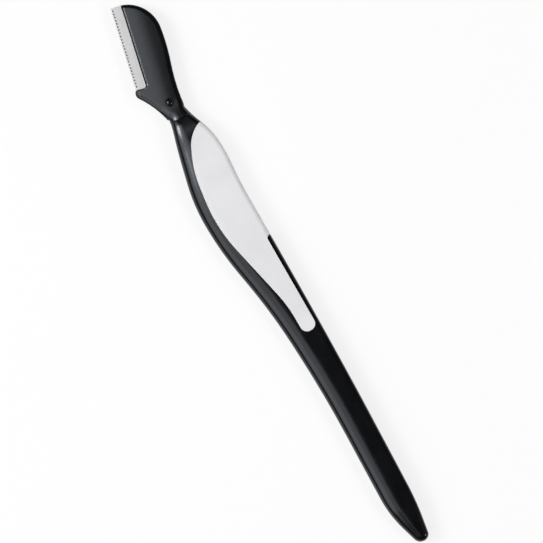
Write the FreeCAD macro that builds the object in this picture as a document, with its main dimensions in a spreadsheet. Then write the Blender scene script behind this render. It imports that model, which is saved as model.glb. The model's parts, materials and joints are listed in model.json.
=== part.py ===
"""Eyebrow razor with a fixed, guarded blade, built as six separate pieces.

Millimetres, +Z up. The razor lies on its back: X runs along the handle with the head at -X, the
cutting edge faces -Y and the front looks up. The origin is under the middle of the razor, on the
plane it rests on.
"""

import FreeCAD, Part
import Sketcher
import math
import os

SIZES = {
    # Lengths from one station of the handle to the next, from the head's tip to the tail's end
    "tip_to_root": 27.5,
    "root_to_neck": 4.5,
    "neck_to_collar": 6.0,
    "collar_to_shoulder": 6.0,
    "shoulder_to_belly": 8.0,
    "belly_to_palm": 13.0,
    "palm_to_heel": 19.0,
    "heel_to_stem": 23.0,
    "stem_to_tail": 33.5,
    "tail_to_end": 9.5,
    # Corners of the handle's outline below the X axis
    "root_low": 1.9,
    "neck_low": 2.3,
    "collar_low": 4.16,
    "belly_low": 7.56,
    "palm_low": 7.27,
    "heel_low": 3.97,
    "stem_low": 2.87,
    "tail_low": 3.77,
    "end_low": 0.95,
    # Corners of the handle's outline above the X axis
    "root_high": 2.2,
    "neck_high": 3.25,
    "collar_high": 5.62,
    "shoulder_high": 6.04,
    "belly_high": 5.32,
    "heel_high": 5.23,
    "stem_high": 4.87,
    "tail_high": 3.75,
    "end_high": 2.19,
    # How far corners are rounded, as a share of the shorter side beside them
    "corner_share": 0.46,
    # Thickness of the handle, its long edges and its slopes to the head and the tail's end
    "grip_depth": 5.0,
    "edge_round": 1.4,
    "root_wall": 0.1,
    "end_wall": 0.7,
    "ramp_blend": 2.5,
    "tail_blend": 3.0,
    # Where the head sits and how its blade leans
    "edge_drop": 1.1,
    "blade_angle": 12.5,
    # Outline of the head, along the blade and away from the cutting edge
    "exposure": 2.6,
    "tip_radius": 8.6,
    "crown_along": 8.0,
    "crown_depth": 10.36,
    "saddle_along": 17.0,
    "saddle_drop": 0.21,
    "throat_past_rivet": 1.4,
    "throat_drop": 0.21,
    "tongue_past_rivet": 4.4,
    "tongue_inset": 1.0,
    "chin_past_rivet": 3.9,
    "chin_depth": 5.17,
    "chin_radius": 23.0,
    "lip_along": 20.9,
    "lip_round": 0.75,
    "hook_reach": 2.1,
    "hook_rise": 0.12,
    "hook_low_reach": 1.3,
    "hook_low": 0.33,
    "hook_tip": 0.1,
    # Section of the head: half thickness at the mouth and from the ridge to the back
    "mouth_half": 1.0,
    "ridge_depth": 6.3,
    "ridge_half": 1.5,
    "ridge_blend": 1.8,
    "rim_round": 0.8,
    "chin_bevel": 0.3,
    # Cover, posts and rivet
    "cover_past_rivet": 4.63,
    "seam_gap": 0.1,
    "post_radius": 0.6,
    "post_height": 1.0,
    "post_depth": 4.4,
    "post_first": 5.0,
    "post_spacing": 11.0,
    "rivet_past_lip": 5.2,
    "rivet_depth": 6.9,
    "rivet_shank": 0.7,
    "rivet_radius": 1.1,
    "rivet_seat": 1.3,
    "rivet_skirt": 0.25,
    "rivet_dome": 0.8,
    # Blade and skin guard
    "blade_thick": 0.2,
    "blade_back": 6.0,
    "blade_setback": 0.15,
    "bevel": 0.5,
    "blade_tuck": 0.7,
    "tang_margin": 2.2,
    "hole_clearance": 0.05,
    "guard_sheet": 0.1,
    "guard_tuck": 0.5,
    "guard_gap": 0.05,
    "slot_width": 0.42,
    "slot_depth": 0.6,
    "slot_pitch": 0.8,
    "slot_margin": 0.6,
    # Grip inlay: corners of its border, its round end, the notch and the core under it
    "nose_reach": 3.1,
    "nose_lean": 3.3,
    "nose_high": 1.06,
    "border_shoulder": 3.2,
    "border_reach": 7.0,
    "border_belly": 5.2,
    "border_heel": 0.42,
    "inlay_end": 7.9,
    "inlay_width": 3.6,
    "notch_reach": 1.7,
    "notch_round": 1.0,
    "web_thick": 2.6,
    "wrap": 1.6,
}

STATIONS = ("root", "neck", "collar", "shoulder", "belly", "palm", "heel", "stem", "tail", "end")
LOWER = ("root", "neck", "collar", "belly", "palm", "heel", "stem", "tail", "end")
UPPER = ("root", "neck", "collar", "shoulder", "belly", "heel", "stem", "tail", "end")
UP = FreeCAD.Vector(0, 0, 1)
CLEAR = 20.0  # reach of cutting shapes past the razor


class Size:
    """A size kept both as a number and as the sheet expression that gives it."""

    def __init__(self, value, text):
        self.value = float(value)
        self.text = text

    def __add__(self, other):
        return joined(self, "+", other, self.value + as_size(other).value)

    def __radd__(self, other):
        return as_size(other) + self

    def __sub__(self, other):
        return joined(self, "-", other, self.value - as_size(other).value)

    def __rsub__(self, other):
        return as_size(other) - self

    def __mul__(self, other):
        return joined(self, "*", other, self.value * as_size(other).value)

    def __rmul__(self, other):
        return as_size(other) * self

    def __truediv__(self, other):
        return joined(self, "/", other, self.value / as_size(other).value)

    def __neg__(self):
        return Size(-self.value, f"(-1 * {self.text})")


def as_size(item):
    """A Size from a plain number, or the Size itself."""
    return item if isinstance(item, Size) else Size(item, f"({float(item)})")


def joined(left, sign, right, value):
    """The Size of two sizes joined by an arithmetic sign."""
    return Size(value, f"({left.text} {sign} {as_size(right).text})")


def size(name):
    """The named driving size."""
    return Size(SIZES[name], f"Sizes.{name}")


def make_sheet(doc):
    """Write every driving size into the document's sheet."""
    sheet = doc.addObject("Spreadsheet::Sheet", "Sizes")
    for row, (name, value) in enumerate(SIZES.items(), start=1):
        sheet.set(f"A{row}", name)
        sheet.set(f"B{row}", str(value))
        sheet.setAlias(f"B{row}", name)
    doc.recompute()


def station_x():
    """X of the head's tip and of every station, centred on the whole length."""
    spans = [size("tip_to_root")]
    for before, after in zip(STATIONS, STATIONS[1:]):
        spans.append(size(f"{before}_to_{after}"))
    total = spans[0]
    for span in spans[1:]:
        total = total + span
    places = {"tip": -total / 2}
    here = places["tip"]
    for name, span in zip(STATIONS, spans):
        here = here + span
        places[name] = here
    return places


def lower_edge(name):
    """Y of the outline's lower corner at a station."""
    return -size(f"{name}_low")


def upper_edge(name):
    """Y of the outline's upper corner at a station."""
    return size(f"{name}_high")


def mid_height():
    """Height of the plane that halves the handle, the head and the blade."""
    return size("grip_depth") / 2


def head_x(along, depth):
    """X of a point given along the blade and away from its edge."""
    lean = math.radians(SIZES["blade_angle"])
    turn = "Sizes.blade_angle * 1 deg"
    text = f"({along.text} * cos({turn}) + {depth.text} * sin({turn}))"
    reach = along.value * math.cos(lean) + depth.value * math.sin(lean)
    return station_x()["tip"] + Size(reach, text)


def rivet_along():
    """Where the rivet stands along the blade."""
    return size("lip_along") + size("rivet_past_lip")


def head_placement(lift="0"):
    """Expression for the head's own frame: along the blade, away from its edge, up."""
    tip = station_x()["tip"].text
    place = f"vector({tip}; -1 * Sizes.edge_drop; Sizes.grip_depth / 2 + {lift})"
    return f"placement({place}; rotation(vector(0; 0; 1); -1 * Sizes.blade_angle))"


def new_body(doc, name, in_head=False):
    """A part design body, in the head's frame when asked."""
    body = doc.addObject("PartDesign::Body", name)
    if in_head:
        body.setExpression("Placement", head_placement())
    return body


def own_plane(body, role):
    """One of the body's own planes."""
    return next(item for item in body.Origin.OriginFeatures if item.Role == role)


def new_sketch(body, name, role, offset=None):
    """A sketch on one of the body's own planes, moved along its normal."""
    sketch = body.newObject("Sketcher::SketchObject", name)
    sketch.AttachmentSupport = [(own_plane(body, role), "")]
    sketch.MapMode = "FlatFace"
    if offset is not None:
        sketch.setExpression("AttachmentOffset.Base.z", offset.text)
    return sketch


def hold(sketch, kind, spots, amount):
    """Add a dimension to a sketch and bind it to its size."""
    index = sketch.addConstraint(Sketcher.Constraint(kind, *spots, amount.value))
    sketch.setExpression(f"Constraints[{index}]", amount.text)


def arc_between(first, last, radius, left):
    """Arc from first to last, turning left or right, and whether its start comes first."""
    chord = last - first
    half = chord.Length / 2
    reach = math.sqrt(max(radius * radius - half * half, 0.0))
    side = UP.cross(chord).normalize()
    centre = (first + last) / 2 + side * (reach if left else -reach)
    angles = []
    for point in (first, last) if left else (last, first):
        angles.append(math.atan2(point.y - centre.y, point.x - centre.x))
    if angles[1] < angles[0]:
        angles[1] += 2 * math.pi
    return Part.ArcOfCircle(Part.Circle(centre, UP, radius), *angles)


class Outline:
    """A closed sketch outline drawn corner by corner, every corner held by sizes."""

    def __init__(self, sketch, across, along):
        self.sketch = sketch
        self.here = self._vector(across, along)
        self.begin = (across, along)
        self.last = None
        self.first = None
        self.heading = None

    @staticmethod
    def _vector(across, along):
        return FreeCAD.Vector(as_size(across).value, as_size(along).value, 0)

    def _join(self, curve, ends, corner, smooth):
        """Add one curve, tie it to the one before and hold its far end."""
        index = self.sketch.addGeometry(curve, False)
        near = (index, ends[0])
        far = (index, ends[1])
        if self.last is None:
            self.first = near
            hold(self.sketch, "DistanceX", (-1, 1, *near), as_size(self.begin[0]))
            hold(self.sketch, "DistanceY", (-1, 1, *near), as_size(self.begin[1]))
        else:
            kind = "Tangent" if smooth else "Coincident"
            self.sketch.addConstraint(Sketcher.Constraint(kind, *self.last, *near))
        if corner is None:
            self.sketch.addConstraint(Sketcher.Constraint("Coincident", *far, *self.first))
        else:
            hold(self.sketch, "DistanceX", (-1, 1, *far), as_size(corner[0]))
            hold(self.sketch, "DistanceY", (-1, 1, *far), as_size(corner[1]))
        self.last = far
        return index

    def line(self, across, along):
        """Straight on to a corner."""
        target = self._vector(across, along)
        self._join(Part.LineSegment(self.here, target), (1, 2), (across, along), False)
        self.heading = target - self.here
        self.here = target

    def close(self):
        """Straight back to the first corner."""
        target = self._vector(*self.begin)
        self._join(Part.LineSegment(self.here, target), (1, 2), None, False)

    def arc(self, across, along, radius, left):
        """Round to a corner with a radius of its own."""
        target = self._vector(across, along)
        curve = arc_between(self.here, target, radius.value, left)
        index = self._join(curve, (1, 2) if left else (2, 1), (across, along), False)
        hold(self.sketch, "Radius", (index,), radius)
        self._turn(curve, target, left)

    def tangent(self, across, along):
        """Round to a corner, running on smoothly from the curve before."""
        target = self._vector(across, along)
        chord = target - self.here
        turn = self.heading.cross(chord).z
        slant = abs(math.asin(turn / (self.heading.Length * chord.Length)))
        curve = arc_between(self.here, target, chord.Length / (2 * math.sin(slant)), turn > 0)
        self._join(curve, (1, 2) if turn > 0 else (2, 1), (across, along), True)
        self._turn(curve, target, turn > 0)

    def _turn(self, curve, target, left):
        """Keep the heading at the end of an arc."""
        spoke = target - curve.Center
        self.heading = UP.cross(spoke) if left else spoke.cross(UP)
        self.here = target


def add_pad(body, name, sketch, length):
    """Pad a sketch along its normal."""
    pad = body.newObject("PartDesign::Pad", name)
    pad.Profile = sketch
    pad.setExpression("Length", as_size(length).text)
    return pad


def add_pocket(body, name, sketch, length):
    """Cut a sketch against its normal."""
    pocket = body.newObject("PartDesign::Pocket", name)
    pocket.Profile = sketch
    pocket.setExpression("Length", as_size(length).text)
    return pocket


def rim_edges(shape, wanted):
    """Names of the edges between an upright wall and a face across it, if the wall is wanted."""
    names = []
    for number, edge in enumerate(shape.Edges, start=1):
        middle = edge.valueAt((edge.FirstParameter + edge.LastParameter) / 2)
        walls = []
        for face in shape.ancestorsOfType(edge, Part.Face):
            normal = face.normalAt(*face.Surface.parameter(middle))
            if abs(normal.z) < 0.01:
                walls.append((face, normal))
        if len(walls) == 1 and wanted(*walls[0], middle):
            names.append(f"Edge{number}")
    return names


def add_fillet(body, name, base, radius, wanted):
    """Round the rims of a feature along the walls that a test picks out."""
    fillet = body.newObject("PartDesign::Fillet", name)
    fillet.Base = (base, rim_edges(base.Shape, wanted))
    fillet.setExpression("Radius", radius.text)
    return fillet


def add_boolean(doc, kind, name, base, tool):
    """Part boolean of two objects."""
    result = doc.addObject(f"Part::{kind}", name)
    result.Base = base
    result.Tool = tool
    return result


def add_prism(doc, name, sketch, length):
    """Upright solid over a free sketch."""
    prism = doc.addObject("Part::Extrusion", name)
    prism.Base = sketch
    prism.DirMode = "Custom"
    prism.Dir = UP
    prism.Solid = True
    prism.setExpression("LengthFwd", as_size(length).text)
    return prism


def free_sketch(doc, name, height):
    """A level sketch outside any body, at a height."""
    sketch = doc.addObject("Sketcher::SketchObject", name)
    sketch.setExpression("Placement.Base.z", as_size(height).text)
    return sketch


def add_circle(sketch, across, along, radius):
    """A circle held by its middle and radius."""
    middle = FreeCAD.Vector(across.value, along.value, 0)
    index = sketch.addGeometry(Part.Circle(middle, UP, radius.value), False)
    hold(sketch, "DistanceX", (-1, 1, index, 3), across)
    hold(sketch, "DistanceY", (-1, 1, index, 3), along)
    hold(sketch, "Radius", (index,), radius)


class Corner:
    """A corner of a polygon, sharp or rounded by an arc that reaches some way along both sides."""

    def __init__(self, across, along, share=None, reach=None):
        self.across = as_size(across)
        self.along = as_size(along)
        self.share = share
        self.reach = reach
        self.point = FreeCAD.Vector(self.across.value, self.along.value, 0)

    def rounded(self):
        """Whether an arc takes the place of this corner."""
        return self.share is not None or self.reach is not None

    def reach_along(self, other):
        """Reach towards another corner, measured across or along, whichever is longer."""
        step = other.point - self.point
        sideways = abs(step.x) >= abs(step.y)
        span = other.across - self.across if sideways else other.along - self.along
        kind = "DistanceX" if sideways else "DistanceY"
        if self.reach is not None:
            return kind, self.reach if span.value > 0 else -self.reach
        return kind, self.share * span

    def ends(self, before, after):
        """Where the arc leaves the side before and joins the side after."""
        side = self.shorter(before, after)
        kind, amount = self.reach_along(side)
        toward = (side.point - self.point).normalize()
        length = amount.value / (toward.x if kind == "DistanceX" else toward.y)
        return [self.point + (item.point - self.point).normalize() * length for item in (before, after)]

    def shorter(self, before, after):
        """The nearer of the two corners beside this one."""
        first = (before.point - self.point).Length
        return before if first <= (after.point - self.point).Length else after


def draw_rounded(sketch, corners):
    """Closed polygon through corners, with tangent arcs at the rounded ones."""
    count = len(corners)
    before = [corners[index - 1] for index in range(count)]
    after = [corners[(index + 1) % count] for index in range(count)]
    ends = []
    for corner, near, far in zip(corners, before, after):
        ends.append(corner.ends(near, far) if corner.rounded() else [corner.point, corner.point])
    lines = []
    for index in range(count):
        line = Part.LineSegment(ends[index - 1][1], ends[index][0])
        lines.append(sketch.addGeometry(line, False))
    for index, corner in enumerate(corners):
        joint = (lines[index], lines[(index + 1) % count])
        if corner.rounded():
            draw_arc(sketch, corner, joint, ends[index], before[index], after[index])
        else:
            sketch.addConstraint(Sketcher.Constraint("Coincident", joint[0], 2, joint[1], 1))
            hold(sketch, "DistanceX", (-1, 1, joint[0], 2), corner.across)
            hold(sketch, "DistanceY", (-1, 1, joint[0], 2), corner.along)


def draw_arc(sketch, corner, joint, ends, before, after):
    """Tangent arc in place of a corner, with the corner kept as a held point."""
    first, last = ends
    turn = (first - corner.point).getAngle(last - corner.point)
    radius = (first - corner.point).Length * math.tan(turn / 2)
    left = (corner.point - first).cross(last - corner.point).z > 0
    arc = sketch.addGeometry(arc_between(first, last, radius, left), False)
    near, far = (1, 2) if left else (2, 1)
    spot = sketch.addGeometry(Part.Point(corner.point), True)
    hold(sketch, "DistanceX", (-1, 1, spot, 1), corner.across)
    hold(sketch, "DistanceY", (-1, 1, spot, 1), corner.along)
    sketch.addConstraint(Sketcher.Constraint("Tangent", joint[0], 2, arc, near))
    sketch.addConstraint(Sketcher.Constraint("Tangent", arc, far, joint[1], 1))
    for line in joint:
        sketch.addConstraint(Sketcher.Constraint("PointOnObject", spot, 1, line))
    side = corner.shorter(before, after)
    kind, amount = corner.reach_along(side)
    tip = (joint[0], 2) if side is before else (joint[1], 1)
    hold(sketch, kind, (spot, 1, *tip), amount)


def draw_handle(sketch):
    """Outline of the handle: along its lower side to the tail and back along the upper."""
    places = station_x()
    share = size("corner_share")
    corners = []
    for side, edge in ((LOWER, lower_edge), (UPPER[::-1], upper_edge)):
        for name in side:
            kept = None if name == "root" else share
            corners.append(Corner(places[name], edge(name), kept))
    draw_rounded(sketch, corners)


def draw_side(sketch):
    """Everything in front of the handle, seen from its lower side: slope, grip, slope."""
    places = station_x()
    reach = CLEAR / 2
    thick = mid_height()
    rounds = size("edge_round")
    root = rounds + size("root_wall") / 2
    end = rounds + size("end_wall") / 2
    ramp = (thick - root) / (places["neck"] - places["root"])
    fall = (thick - end) / (places["end"] - places["tail"])
    corners = (
        Corner(places["root"] - reach, root - ramp * reach),
        Corner(places["neck"], thick, reach=size("ramp_blend")),
        Corner(places["tail"], thick, reach=size("tail_blend")),
        Corner(places["end"] + reach, end - fall * reach),
        Corner(places["end"] + reach, CLEAR),
        Corner(places["root"] - reach, CLEAR),
    )
    draw_rounded(sketch, corners)


def make_grip_blank(doc):
    """Handle and neck as one bar: outlined, sloped front and back, rounded along its edges."""
    body = new_body(doc, "GripBlank")
    body.setExpression("Placement.Base.z", mid_height().text)
    plan = new_sketch(body, "GripOutline", "XY_Plane", -size("grip_depth"))
    draw_handle(plan)
    add_pad(body, "GripPlate", plan, 2 * size("grip_depth"))
    side = new_sketch(body, "SideProfile", "XZ_Plane", as_size(CLEAR))
    draw_side(side)
    front = add_pocket(body, "GripFront", side, 2 * CLEAR)
    both = add_mirrored(doc, body, "GripBack", front)
    root = station_x()["root"].value
    body.Tip = add_fillet(
        body, "EdgeRound", both, size("edge_round"), lambda face, normal, middle: middle.x > root + 0.001
    )
    doc.recompute()
    return body


def add_mirrored(doc, body, name, feature):
    """Repeat a feature on the other side of the body's level plane."""
    doc.recompute()
    both = body.newObject("PartDesign::Mirrored", name)
    both.Originals = [feature]
    both.MirrorPlane = (own_plane(body, "XY_Plane"), [""])
    body.Tip = both
    doc.recompute()
    return both


def draw_head(sketch):
    """Outline of the head in its own frame: tip, back edge, tongue, underside, hook, mouth."""
    mouth = size("exposure")
    lip = size("lip_along")
    crown = size("crown_depth")
    throat = crown - size("throat_drop")
    tongue = rivet_along() + size("tongue_past_rivet")
    outline = Outline(sketch, 0, mouth)
    outline.arc(size("crown_along"), crown, size("tip_radius"), False)
    outline.tangent(size("saddle_along"), crown - size("saddle_drop"))
    outline.tangent(rivet_along() + size("throat_past_rivet"), throat)
    outline.line(tongue, throat - size("tongue_inset"))
    outline.line(tongue, size("chin_depth") + size("tongue_inset"))
    outline.line(rivet_along() + size("chin_past_rivet"), size("chin_depth"))
    outline.arc(lip + size("hook_reach"), size("hook_rise"), size("chin_radius"), True)
    outline.tangent(lip + size("hook_low_reach"), -size("hook_low"))
    outline.tangent(lip, -size("hook_tip"))
    outline.line(lip, mouth - size("lip_round"))
    outline.arc(lip - size("lip_round"), mouth, size("lip_round"), True)
    outline.close()


def draw_face(sketch):
    """Everything in front of the head, seen along the blade: sloped to the mouth, level behind."""
    ridge = size("ridge_depth")
    peak = size("ridge_half")
    reach = CLEAR / 2
    slope = (peak - size("mouth_half")) / (ridge - size("exposure"))
    corners = (
        Corner(ridge - reach, peak - slope * reach),
        Corner(ridge, peak, reach=size("ridge_blend")),
        Corner(ridge + reach, peak),
        Corner(ridge + reach, CLEAR),
        Corner(ridge - reach, CLEAR),
    )
    draw_rounded(sketch, corners)


def make_head_blank(doc):
    """Whole head, cover and bed together: ridged on both faces, its rims rounded or bevelled."""
    body = new_body(doc, "HeadBlank", in_head=True)
    plan = new_sketch(body, "HeadOutline", "XY_Plane", -2 * size("ridge_half"))
    draw_head(plan)
    add_pad(body, "HeadPlate", plan, 4 * size("ridge_half"))
    face = new_sketch(body, "FaceProfile", "YZ_Plane", rivet_along() + CLEAR)
    draw_face(face)
    front = add_pocket(body, "FrontFace", face, rivet_along() + 2 * CLEAR)
    both = add_mirrored(doc, body, "BackFace", front)
    rim = add_fillet(body, "RimRound", both, size("rim_round"), is_back_wall)
    doc.recompute()
    chin = body.newObject("PartDesign::Chamfer", "ChinBevel")
    chin.Base = (rim, rim_edges(rim.Shape, is_chin_wall))
    chin.setExpression("Size", size("chin_bevel").text)
    body.Tip = chin
    doc.recompute()
    return body


def is_curved(face):
    """Whether a wall follows an arc of the outline."""
    return isinstance(face.Surface, Part.Cylinder)


def is_back_wall(face, normal, middle):
    """Walls round the tip and along the back of the head."""
    return is_curved(face) and normal.y > normal.x + 0.1


def is_chin_wall(face, normal, middle):
    """Walls along the underside and the hook."""
    past_lip = middle.x > SIZES["lip_along"] + 0.001
    return is_curved(face) and past_lip and normal.y < 0


def make_blade(doc):
    """Steel strip with a ground edge, a narrower tang and two locating holes."""
    body = new_body(doc, "BladeBody", in_head=True)
    half = size("blade_thick") / 2
    edge = size("blade_setback")
    length = size("lip_along") + size("blade_tuck")
    profile = new_sketch(body, "BladeProfile", "YZ_Plane", size("guard_gap"))
    outline = Outline(profile, edge, 0)
    outline.line(edge + size("bevel"), -half)
    outline.line(size("blade_back"), -half)
    outline.line(size("blade_back"), half)
    outline.line(edge + size("bevel"), half)
    outline.close()
    add_pad(body, "BladeStrip", profile, length - size("guard_gap"))
    for name, start, stop in (
        ("TipRelief", size("guard_gap") - CLEAR, size("tang_margin")),
        ("HeelRelief", size("lip_along") - size("tang_margin"), length + CLEAR),
    ):
        relief = new_sketch(body, f"{name}Outline", "XY_Plane", half)
        outline = Outline(relief, start, size("exposure"))
        outline.line(stop, size("exposure"))
        outline.line(stop, size("blade_back") + CLEAR)
        outline.line(start, size("blade_back") + CLEAR)
        outline.close()
        add_pocket(body, name, relief, 2 * size("blade_thick"))
    holes = new_sketch(body, "HoleOutline", "XY_Plane", half)
    radius = size("post_radius") + size("hole_clearance")
    for along in (size("post_first"), size("post_first") + size("post_spacing")):
        add_circle(holes, along, size("post_depth"), radius)
    body.Tip = add_pocket(body, "LocatingHoles", holes, 2 * size("blade_thick"))
    doc.recompute()
    return body


def make_guard(doc):
    """Sheet folded over the cutting edge, with a row of slots across the fold."""
    body = new_body(doc, "GuardBody", in_head=True)
    inner = size("blade_thick") / 2
    outer = inner + size("guard_sheet")
    leg = size("exposure") + size("guard_tuck")
    length = size("lip_along") - size("guard_gap")
    profile = new_sketch(body, "FoldProfile", "YZ_Plane")
    outline = Outline(profile, leg, inner)
    outline.line(leg, outer)
    outline.line(outer, outer)
    outline.line(0, outer - inner)
    outline.line(0, inner - outer)
    outline.line(outer, -outer)
    outline.line(leg, -outer)
    outline.line(leg, -inner)
    outline.line(outer - inner, -inner)
    outline.line(outer - inner, inner)
    outline.close()
    add_pad(body, "Fold", profile, length)
    mouth = new_sketch(body, "SlotOutline", "XY_Plane", outer)
    start = size("slot_margin")
    outline = Outline(mouth, start, -size("slot_depth"))
    outline.line(start + size("slot_width"), -size("slot_depth"))
    outline.line(start + size("slot_width"), size("slot_depth"))
    outline.line(start, size("slot_depth"))
    outline.close()
    slot = add_pocket(body, "Slot", mouth, 2 * outer)
    doc.recompute()
    row = body.newObject("PartDesign::LinearPattern", "SlotRow")
    row.Originals = [slot]
    row.Direction = (mouth, ["H_Axis"])
    room = length - 2 * size("slot_margin") - size("slot_width")
    count = f"floor({(room / size('slot_pitch')).text} + 0.001)"
    row.setExpression("Length", f"{count} * Sizes.slot_pitch")
    row.setExpression("Occurrences", f"{count} + 1")
    body.Tip = row
    doc.recompute()
    return body


def make_rivet(doc):
    """Pin through cover and bed with a domed head in front and a flat one behind."""
    body = new_body(doc, "RivetBody", in_head=True)
    profile = new_sketch(body, "RivetProfile", "XZ_Plane", -size("rivet_depth"))
    profile.setExpression("AttachmentOffset.Base.x", rivet_along().text)
    shank = size("rivet_shank")
    reach = size("rivet_radius")
    seat = size("rivet_seat")
    skirt = seat + size("rivet_skirt")
    dome = size("rivet_dome")
    curve = (reach * reach + dome * dome) / (2 * dome)
    outline = Outline(profile, 0, -skirt)
    outline.line(reach, -skirt)
    outline.line(reach, -seat)
    outline.line(shank, -seat)
    outline.line(shank, seat)
    outline.line(reach, seat)
    outline.line(reach, skirt)
    outline.arc(0, skirt + dome, curve, True)
    outline.close()
    pin = body.newObject("PartDesign::Revolution", "Pin")
    pin.Profile = profile
    pin.ReferenceAxis = (profile, ["V_Axis"])
    body.Tip = pin
    doc.recompute()
    return body


def make_posts(doc):
    """Two posts that stand on the bed, pass through the blade and enter the cover."""
    sketch = doc.addObject("Sketcher::SketchObject", "PostOutline")
    sketch.setExpression("Placement", head_placement("-1 * Sizes.blade_thick / 2"))
    for along in (size("post_first"), size("post_first") + size("post_spacing")):
        add_circle(sketch, along, size("post_depth"), size("post_radius"))
    return add_prism(doc, "Posts", sketch, size("post_height"))


def make_cover_room(doc, name, gap):
    """Everything in front of the blade's rear face, from the tip to the cover's end."""
    tip = station_x()["tip"]
    end = head_x(rivet_along(), size("rivet_depth")) + size("cover_past_rivet") + gap
    sketch = free_sketch(doc, f"{name}Outline", mid_height() - size("blade_thick") / 2)
    outline = Outline(sketch, tip - CLEAR, -CLEAR)
    outline.line(end, -CLEAR)
    outline.line(end, CLEAR)
    outline.line(tip - CLEAR, CLEAR)
    outline.close()
    return add_prism(doc, name, sketch, CLEAR)


def notch_x():
    """X where the inlay's upper border turns up to the outline."""
    return station_x()["palm"] + size("notch_reach")


def draw_inlay(sketch):
    """Outline of the grip inlay: nose, lower border along the frame, round end, notch."""
    places = station_x()
    share = size("corner_share")
    nose = places["neck"] + size("nose_reach")
    low = size("border_heel")
    high = low + size("inlay_width")
    end = places["heel"] + size("inlay_end")
    corners = (
        Corner(nose - size("nose_lean"), CLEAR),
        Corner(nose, size("nose_high"), share),
        Corner(places["shoulder"], -size("border_shoulder"), share),
        Corner(places["belly"] + size("border_reach"), -size("border_belly"), share),
        Corner(places["heel"], low, share),
        Corner(end, low, share),
        Corner(end, high, share),
        Corner(notch_x(), high, reach=size("notch_round")),
        Corner(notch_x(), CLEAR),
    )
    draw_rounded(sketch, corners)


def make_web(doc):
    """Core of the handle that stays under the inlay, which wraps round its upper edge."""
    places = station_x()
    low = mid_height() - size("web_thick") / 2
    sketch = free_sketch(doc, "WebOutline", low)
    start = places["neck"] - CLEAR
    end = places["stem"]
    step = notch_x()
    top = upper_edge("heel") - size("wrap")
    outline = Outline(sketch, start, -CLEAR)
    outline.line(end, -CLEAR)
    outline.line(end, CLEAR)
    outline.line(step, CLEAR)
    outline.line(step, top)
    outline.line(start, top)
    outline.close()
    return add_prism(doc, "Web", sketch, size("web_thick"))


def cut_by(doc, name, base, tools):
    """A base cut by several tools, one after another."""
    for number, tool in enumerate(tools, start=1):
        base = add_boolean(doc, "Cut", f"{name}Cut{number}", base, tool)
    return base


def make_pieces(doc):
    """Every separate piece of the razor, by the name of its file."""
    grip = make_grip_blank(doc)
    head = make_head_blank(doc)
    blade = make_blade(doc)
    guard = make_guard(doc)
    rivet = make_rivet(doc)
    posts = make_posts(doc)
    whole = add_boolean(doc, "Fuse", "WholeRazor", grip, head)

    border = free_sketch(doc, "InlayOutline", as_size(-CLEAR / 2))
    draw_inlay(border)
    room = add_prism(doc, "InlayRoom", border, CLEAR)
    panel = add_boolean(doc, "Common", "InlayPanel", whole, room)
    inlay = add_boolean(doc, "Cut", "Inlay", panel, make_web(doc))

    front = add_boolean(doc, "Common", "FrontHalf", whole, make_cover_room(doc, "CoverRoom", 0))
    cover = cut_by(doc, "Cover", front, (blade, guard, posts, rivet))

    gap = make_cover_room(doc, "HandleRoom", size("seam_gap"))
    rear = add_boolean(doc, "Cut", "RearHalf", whole, gap)
    posted = add_boolean(doc, "Fuse", "PostedHalf", rear, posts)
    handle = cut_by(doc, "Handle", posted, (guard, rivet, inlay))
    return {
        "handle": handle,
        "grip_inlay": inlay,
        "head_cover": cover,
        "blade": blade,
        "skin_guard": guard,
        "head_rivet": rivet,
    }


def check(doc, pieces):
    """Stop if any object failed, or if a piece is not one sound solid."""
    for item in doc.Objects:
        if "Invalid" in item.State or "Error" in item.State:
            raise RuntimeError(f"{item.Name} did not build")
    for name, piece in pieces.items():
        shape = piece.Shape
        if shape.isNull() or not shape.isValid() or len(shape.Solids) != 1:
            raise RuntimeError(f"{name} is not one sound solid: {len(shape.Solids)}")


def main():
    """Build the document and write one file for each piece."""
    doc = FreeCAD.newDocument("EyebrowRazor")
    make_sheet(doc)
    pieces = make_pieces(doc)
    for name, piece in pieces.items():
        piece.Label = name
    doc.recompute()
    check(doc, pieces)
    os.makedirs("parts", exist_ok=True)
    for name, piece in pieces.items():
        piece.Shape.exportStep(f"parts/{name}.step")


main()
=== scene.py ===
import json
import logging
import math
from collections.abc import Callable, Iterator
from contextlib import contextmanager
from dataclasses import dataclass, field
from enum import Enum
from typing import Any, ClassVar, Protocol

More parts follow.
